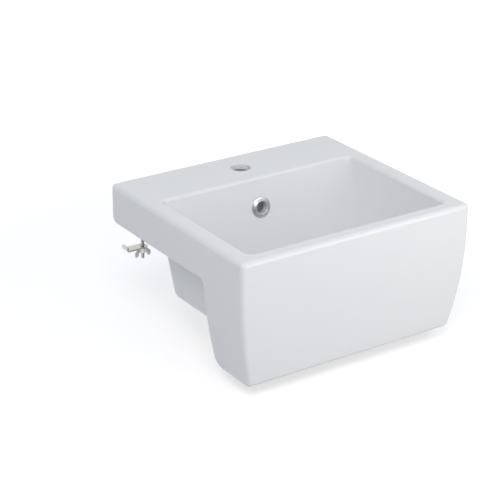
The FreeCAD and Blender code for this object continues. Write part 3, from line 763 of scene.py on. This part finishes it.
class BASIN_OT_waste(bpy.types.Operator):
    """Waste: flange, threaded pipe with overflow windows and cross arms, its nut and its seals."""

    bl_idname = "basin.waste"
    bl_label = "Waste"

    def execute(self, context):
        props = context.scene.basin_waste
        self.x, self.y = axis_of("waste_body")
        chrome = plated("plated_waste", props.chrome, (self.x, self.y, 0.0))
        shells = [self.pipe(props)] + self.spider(props)
        waste = smooth(piece("threaded_waste", shells), 35.0)
        finish_piece(waste, "basin", "chromed_waste", chrome, "waste_body")

        rubber = moulded("seal_rubber", SEAL_RUBBER, 0.62)
        slip = moulded("slip_plastic", SLIP_PLASTIC, 0.42)
        self.ring("flange_washer", "flange_gasket", "seal_rubber", rubber, 0.00045)
        self.cone(props, rubber)
        self.ring("friction_ring", "slip_ring", "slip_plastic", slip, 0.0004)
        self.nut(props)
        return {"FINISHED"}

    def pipe(self, props):
        """Flange and pipe, with rows fine enough for the thread, and two windows."""
        low, high = span("waste_body")
        nut_foot = span("back_nut")[0][2]
        groove_top = nut_foot - props.thread_run
        groove_foot = groove_top - props.groove
        flange_foot = span("flange_gasket")[1][2]
        flange = (high[0] - low[0]) / 2
        sill, head = props.window_foot, props.window_foot + props.window_tall
        crest, bore = props.crest, props.bore
        root = crest - props.groove_depth
        outer = [
            (flange, flange_foot, 0.0004),
            (flange, high[2] - 0.0006, 0.0008),
            (flange - 0.0012, high[2], 0.0006),
            (bore + props.seat, high[2], 0.0005),
            (bore, high[2] - props.seat, 0.0006),
            (bore, head, 0.0),
            (bore, sill, 0.0),
            (bore, low[2], 0.0004),
            (crest - 0.0008, low[2], 0.0003),
            (crest, low[2] + 0.0008, 0.0),
            (crest, groove_foot, 0.0),
            (root, groove_foot + 0.0003, 0.0002),
            (root, groove_top - 0.0003, 0.0002),
            (crest, groove_top, 0.0),
            (crest, sill, 0.0),
            (crest, head, 0.0),
            (crest, flange_foot, 0.0),
        ]
        step = props.pitch / THREAD_ROWS
        walls = fine(rounded(outer), low[2], flange_foot, step, crest)
        walls = fine(walls, sill, head, step, bore)
        runs = [(low[2], groove_foot), (groove_top, flange_foot)]
        worm = thread(props.pitch, props.thread_depth, runs, crest)
        shell = revolved(walls, self.x, self.y, PIPE_COLUMNS, worm)
        level = (walls[:, 1] > sill - NEAR) & (walls[:, 1] < head + NEAR)
        outside = np.flatnonzero(level & (np.abs(walls[:, 0] - crest) < NEAR))
        inside = np.flatnonzero(level & (np.abs(walls[:, 0] - bore) < NEAR))[::-1]
        half = props.window_columns
        for middle in (PIPE_COLUMNS // 4, 3 * PIPE_COLUMNS // 4):
            shell = windowed(shell, outside, inside, middle - half, middle + half)
        return shell

    def spider(self, props):
        """Hub and three cross arms inside the pipe, level with the post's root."""
        low = span("guide_post")[0]
        foot, top = low[2], low[2] + props.spider_tall
        inner = props.post + FIT
        hub = rounded(
            [
                (inner, foot, 0.0003),
                (props.hub, foot, 0.0007),
                (props.hub, top, 0.0007),
                (inner, top, 0.0003),
            ]
        )
        shells = [revolved(hub, self.x, self.y, 64)]
        half = props.arm / 2
        start, end = props.post + 0.0016, props.bore + 0.0008
        plan = np.array([(start, -half), (end, -half), (end, half), (start, half)])
        points, sides, caps = slab(plan, foot, top, 0.0008)
        for turn in np.radians([90.0, 210.0, 330.0]):
            across = points[..., 0] * np.cos(turn) - points[..., 1] * np.sin(turn)
            along = points[..., 0] * np.sin(turn) + points[..., 1] * np.cos(turn)
            placed = np.stack([self.x + across, self.y + along, points[..., 2]], -1)
            shells.append((placed, sides, caps))
        return shells

    def ring(self, name, node, slot, material, edge):
        """Flat ring as thick as its node, with rounded edges."""
        low, high = span(node)
        outer = (high[0] - low[0]) / 2
        inner = bpy.context.scene.basin_waste.crest + FIT
        corners = ((inner, low[2]), (outer, low[2]), (outer, high[2]), (inner, high[2]))
        outline = rounded([(r, z, edge) for r, z in corners])
        obj = smooth(piece(name, [revolved(outline, self.x, self.y)]))
        finish_piece(obj, "basin", slot, material, node)

    def cone(self, props, rubber):
        """Seal under the boss, its tapered lip in the hole, its outside moulded a little hollow."""
        low, high = span("cone_seal")
        outer, inner = (high[0] - low[0]) / 2, props.crest + FIT
        boss = high[2] - props.lip
        outline = rounded(
            [
                (inner, low[2], 0.0005),
                (outer - 0.0004, low[2], 0.0009),
                (outer - 0.0011, (low[2] + boss) / 2, 0.006),
                (outer, boss, 0.0009),
                (props.lip_radius, boss, 0.0004),
                (props.lip_radius - 0.0008, high[2], 0.0004),
                (inner, high[2], 0.0004),
            ]
        )
        obj = smooth(piece("cone_washer", [revolved(outline, self.x, self.y)]))
        finish_piece(obj, "basin", "seal_rubber", rubber, "cone_seal")

    def nut(self, props):
        """Hexagon nut: at angle a its flats stand at flats / cos(a within its own sixth).

        The lower corners are turned down by a 30 degree cone, which meets each flat in a curve that
        is worked out per column, and the corners are blunted at a little under their full radius.
        """
        low, high = span("back_nut")
        land, mouth, blunt = 0.0004, 0.0006, 1.135
        columns = 6 * 24
        angle = np.arange(columns) * 2 * np.pi / columns
        flats = (high[1] - low[1]) / 2
        hexagon = flats / np.cos(angle % (np.pi / 3) - np.pi / 6)
        hexagon = np.minimum(hexagon, flats * blunt)
        inner, neck = np.full(columns, props.crest + FIT), np.full(columns, flats - land)
        fall = (hexagon - flats + land) * math.tan(math.radians(30.0))
        foot, top = np.full(columns, low[2]), np.full(columns, high[2])
        radius = [inner + mouth, neck, hexagon, hexagon, hexagon - land]
        height = [foot, foot, foot + fall, top - land, top]
        radius += [inner + mouth, inner, inner]
        height += [top, top - mouth, foot + mouth]
        shell = turned_grid(np.array(radius), np.array(height), angle, self.x, self.y)
        obj = smooth(piece("hexagon_nut", [shell]), 25.0)
        bevel(obj, 0.00025, 24.0)
        material = brass("nut_brass", props.brass, (self.x, self.y, 0.0))
        finish_piece(obj, "basin", "nut_brass", material, "back_nut")


class BASIN_OT_plug(bpy.types.Operator):
    """Click plug: domed cap, its seal, the sliding sleeve with its pin, the post and the spring."""

    bl_idname = "basin.plug"
    bl_label = "Plug"

    def execute(self, context):
        props = context.scene.basin_waste
        self.x, self.y = axis_of("plug_cap")
        self.cap(props)
        self.seal(props)
        soften_node("guide_sleeve", moulded("guide_plastic", GUIDE_PLASTIC, 0.4))
        soften_node("guide_post", brass("post_brass", props.brass, (self.x, self.y, 0.0)))
        steel = zinc("spring_steel", SPRING_STEEL)
        soften_node("latch_pin", steel)
        soften_node("return_spring", steel)
        return {"FINISHED"}

    def cap(self, props):
        """Cap whose top rises as crown times (1 - (r / rim) squared), on its threaded stem."""
        low, high = span("plug_cap")
        rim = (high[0] - low[0]) / 2
        under = span("plug_seal")[1][2]
        r = np.linspace(rim - 0.0009, AXIS, 24)
        dome = np.stack([r, high[2] - props.crown * (r / rim) ** 2], -1)
        lower = rounded(
            [
                (AXIS, low[2], 0.0),
                (props.stem - 0.0006, low[2], 0.0003),
                (props.stem, low[2] + 0.0006, 0.0),
                (props.stem, under, 0.0),
                (rim - 0.0012, under, 0.0004),
                (rim, under + 0.0008, 0.0006),
                (rim, dome[0, 1] - 0.0005, 0.0005),
            ]
        )
        step, pitch, depth = 0.00014, 0.001, 0.0004  # of the stem's thread
        outline = fine(np.concatenate([lower, dome]), low[2], under, step, props.stem)
        runs = [(low[2] + 0.0004, under - 0.0012)]
        worm = thread(pitch, depth, runs, props.stem)
        obj = smooth(piece("domed_cap", [revolved(outline, self.x, self.y, 128, worm)]), 35.0)
        material = plated("plated_cap", props.chrome, (self.x, self.y, 0.0))
        finish_piece(obj, "plug", "chromed_cap", material, "plug_cap")

    def seal(self, props):
        """Rubber ring under the cap, its cone facing the pipe's conical mouth."""
        low, high = span("plug_seal")
        outer = (high[0] - low[0]) / 2
        inner = props.stem + FIT
        rest = span("waste_body")[1][2]
        outline = rounded(
            [
                (inner, low[2], 0.0003),
                (outer - (rest - low[2]), low[2], 0.0005),
                (outer, rest, 0.0003),
                (outer, high[2], 0.0002),
                (inner, high[2], 0.0002),
            ]
        )
        obj = smooth(piece("plug_washer", [revolved(outline, self.x, self.y)]))
        rubber = moulded("plug_rubber", PLUG_RUBBER, 0.55)
        finish_piece(obj, "plug", "seal_rubber", rubber, "plug_seal")


class BASIN_OT_clamps(bpy.types.Operator):
    """Worktop clamps: anchors, threaded studs, bent bars and wing nuts."""

    bl_idname = "basin.clamps"
    bl_label = "Worktop clamps"

    def execute(self, context):
        props = context.scene.basin_clamps
        plating = zinc("zinc_steel", props.zinc)
        nylon = moulded("anchor_nylon", ANCHOR_NYLON, 0.45)
        for side in ("left", "right"):
            bevel(soften_node("clamp_anchor_" + side, nylon), 0.0003)
            bevel(soften_node("clamp_bar_" + side, plating), 0.0004)
            self.stud(props, side, plating)
            self.wing_nut(props, side, plating)
        return {"FINISHED"}

    def stud(self, props, side, plating):
        """Threaded stud with turned-down ends."""
        node = "clamp_stud_" + side
        low, high = span(node)
        x, y = axis_of(node)
        crest = (high[0] - low[0]) / 2
        cut = 0.0007
        outline = rounded(
            [
                (AXIS, low[2], 0.0),
                (crest - cut, low[2], 0.0002),
                (crest, low[2] + cut, 0.0),
                (crest, high[2] - cut, 0.0),
                (crest - cut, high[2], 0.0002),
                (AXIS, high[2], 0.0),
            ]
        )
        outline = fine(outline, low[2], high[2], props.pitch / THREAD_ROWS, crest)
        runs = [(low[2] + 0.0003, high[2] - 0.0003)]
        worm = thread(props.pitch, props.thread_depth, runs, crest)
        obj = smooth(piece("threaded_stud_" + side, [revolved(outline, x, y, 28, worm)]), 50.0)
        finish_piece(obj, "basin", "zinc_steel", plating, node)

    def wing_nut(self, props, side, plating):
        """Flanged hub and two wings, each a plate that thins from its root to its tip."""
        node = "wing_nut_" + side
        low, high = span(node)
        x, y = axis_of(node)
        flange = (high[1] - low[1]) / 2
        reach = (high[0] - low[0]) / 2
        face = high[2] - NUT_GAP
        shoulder, foot = high[2] - props.washer, high[2] - props.washer - props.hub_tall
        hub = rounded(
            [
                (props.nut_bore, foot, 0.0004),
                (props.hub - 0.0005, foot, 0.0009),
                (props.hub, shoulder, 0.0008),
                (flange, shoulder, 0.0005),
                (flange, face, 0.0005),
                (props.nut_bore, face, 0.0004),
            ]
        )
        shells = [revolved(hub, x, y, 64)]
        root, half = props.nut_bore + 0.001, props.wing_thick / 2
        wing = rounded(
            [
                (root, shoulder, 0.0),
                (props.hub, shoulder - 0.0001, 0.001),
                (reach, foot + 0.0002, 0.0034),
                (reach, low[2], 0.0030),
                (reach - props.wing_foot, low[2], 0.0024),
                (props.hub - 0.0004, foot, 0.0014),
                (root, foot + 0.0008, 0.0),
            ],
            steps=8,
        )
        points, sides, caps = slab(wing, -half, half, 0.0009)
        out, up, across = points[..., 0], points[..., 1], points[..., 2]
        thin = 1.0 - 0.22 * np.clip((out - props.hub) / (reach - props.hub), 0, 1)
        for way in (1.0, -1.0):
            placed = np.stack([x + way * out, y + way * across * thin, up], -1)
            shells.append((placed, sides, caps))
        obj = smooth(piece("winged_nut_" + side, shells), 45.0)
        finish_piece(obj, "nut_" + side, "zinc_steel", plating, node)


class BASIN_OT_stage(bpy.types.Operator):
    """Pale floor, soft lamps, white surroundings and the camera."""

    bl_idname = "basin.stage"
    bl_label = "Stage"

    def execute(self, context):
        props = context.scene.basin_stage
        scene = context.scene
        scene.view_settings.view_transform = "Standard"
        self.floor(CAD_BOX[0][2] - props.floor_gap)
        self.world(scene, props)
        for name, place, size, tint, mirrored in LAMPS:
            self.lamp(name + "_lamp", place, size, getattr(props, name), tint, mirrored)
        self.camera(scene, props)
        return {"FINISHED"}

    def seen_white(self, tree):
        """1 for rays that come from the camera, a mirror or glass."""
        rays = tree.nodes.new("ShaderNodeLightPath").outputs
        first = math_node(tree, "MAXIMUM", rays["Is Camera Ray"], rays["Is Glossy Ray"])
        return math_node(tree, "MAXIMUM", first, rays["Is Transmission Ray"])

    def floor(self, height):
        """Plane with a white glow of its own, weaker near the basin so that the shadow stays."""
        half = 8.0
        mesh = bpy.data.meshes.new("floor")
        corners = [(x * half, y * half, height) for x, y in ((-1, -1), (1, -1), (1, 1), (-1, 1))]
        mesh.from_pydata(corners, [], [(0, 1, 2, 3)])
        obj = bpy.data.objects.new("floor", mesh)
        bpy.context.scene.collection.objects.link(obj)
        material = bpy.data.materials.new("floor_white")
        material.use_nodes = True
        tree = material.node_tree
        shader = tree.nodes["Principled BSDF"]
        place = tree.nodes.new("ShaderNodeTexCoord").outputs["Object"]
        limits = {"from_min": 0.45, "from_max": 1.3, "to_min": 0.60, "to_max": 1.0}
        spread = map_range(tree, length_node(tree, place), "SMOOTHSTEP", **limits)
        values = {
            "Base Color": FLOOR_GREY,
            "Roughness": 1.0,
            "Specular IOR Level": 0.0,
            "Emission Color": WHITE,
            "Emission Strength": math_node(tree, "MULTIPLY", spread, self.seen_white(tree)),
        }
        for label, value in values.items():
            feed(tree, shader.inputs[label], value)
        self.clear_from_below(tree, shader)
        mesh.materials.append(material)

    def clear_from_below(self, tree, shader):
        """The floor's underside doesn't hide the basin from a camera under it."""
        rays = tree.nodes.new("ShaderNodeLightPath").outputs
        side = tree.nodes.new("ShaderNodeNewGeometry").outputs["Backfacing"]
        mix = tree.nodes.new("ShaderNodeMixShader")
        tree.links.new(math_node(tree, "MULTIPLY", side, rays["Is Camera Ray"]), mix.inputs[0])
        tree.links.new(shader.outputs[0], mix.inputs[1])
        tree.links.new(tree.nodes.new("ShaderNodeBsdfTransparent").outputs[0], mix.inputs[2])
        end = next(node for node in tree.nodes if node.type == "OUTPUT_MATERIAL")
        tree.links.new(mix.outputs[0], end.inputs["Surface"])

    def world(self, scene, props):
        """White where it is seen, softer and a little cooler where it lights."""
        world = bpy.data.worlds.new("surroundings")
        world.use_nodes = True
        tree = world.node_tree
        background = tree.nodes["Background"]
        seen = self.seen_white(tree)
        tint = mix_colours(tree, seen, tuple(props.sky_colour) + (1.0,), WHITE)
        tree.links.new(tint, background.inputs["Color"])
        rest = math_node(tree, "MULTIPLY", math_node(tree, "SUBTRACT", 1.0, seen), props.sky)
        tree.links.new(math_node(tree, "ADD", seen, rest), background.inputs["Strength"])
        scene.world = world

    def lamp(self, name, place, size, watts, colour, mirrored):
        """Square soft lamp that faces the basin, and isn't in the picture itself."""
        light = bpy.data.lights.new(name, "AREA")
        light.size = size
        light.energy = watts
        light.color = colour
        obj = bpy.data.objects.new(name, light)
        obj.location = place
        obj.rotation_euler = (-Vector(place)).to_track_quat("-Z", "Y").to_euler()
        obj.visible_camera = False
        obj.visible_glossy = mirrored
        bpy.context.scene.collection.objects.link(obj)

    def camera(self, scene, props):
        """Camera at the photograph's angle."""
        data = bpy.data.cameras.new("camera")
        data.lens = props.lens
        data.sensor_width = 36.0
        data.sensor_fit = "HORIZONTAL"
        data.clip_end = 50.0
        flat = math.cos(props.tilt)
        ahead = Vector(
            (math.sin(props.turn) * flat, math.cos(props.turn) * flat, -math.sin(props.tilt))
        )
        level = Vector((math.cos(props.turn), -math.sin(props.turn), 0.0))
        plumb = level.cross(ahead)
        right = level * math.cos(props.roll) + plumb * math.sin(props.roll)
        up = plumb * math.cos(props.roll) - level * math.sin(props.roll)
        obj = bpy.data.objects.new("camera", data)
        turn = Matrix((right, up, -ahead)).transposed().to_4x4()
        obj.matrix_world = Matrix.Translation(Vector(props.camera_place)) @ turn
        scene.collection.objects.link(obj)
        scene.camera = obj


class BASIN_PT_panel(bpy.types.Panel):
    """Buttons for each piece, with its sizes and colours."""

    bl_idname = "BASIN_PT_panel"
    bl_label = "Basin"
    bl_space_type = "VIEW_3D"
    bl_region_type = "UI"
    bl_category = "Basin"

    def draw(self, context):
        for operator in OPERATORS:
            self.layout.operator(operator.bl_idname)
        for name, group in SETTINGS.items():
            box = self.layout.box()
            box.label(text=group.__doc__)
            for key in group.__annotations__:
                box.prop(getattr(context.scene, name), key)


OPERATORS = (
    BASIN_OT_stage,
    BASIN_OT_china,
    BASIN_OT_ring,
    BASIN_OT_waste,
    BASIN_OT_plug,
    BASIN_OT_clamps,
)
CLASSES = tuple(SETTINGS.values()) + OPERATORS + (BASIN_PT_panel,)


def register():
    for cls in CLASSES:
        bpy.utils.register_class(cls)
    for name, group in SETTINGS.items():
        setattr(bpy.types.Scene, name, bpy.props.PointerProperty(type=group))


def unregister():
    for name in SETTINGS:
        delattr(bpy.types.Scene, name)
    for cls in reversed(CLASSES):
        bpy.utils.unregister_class(cls)


def main():
    register()
    make_patterns()
    bpy.ops.basin.stage()
    bpy.ops.basin.china()
    bpy.ops.basin.ring()
    bpy.ops.basin.waste()
    bpy.ops.basin.plug()
    bpy.ops.basin.clamps()


if __name__ == "__main__":
    main()
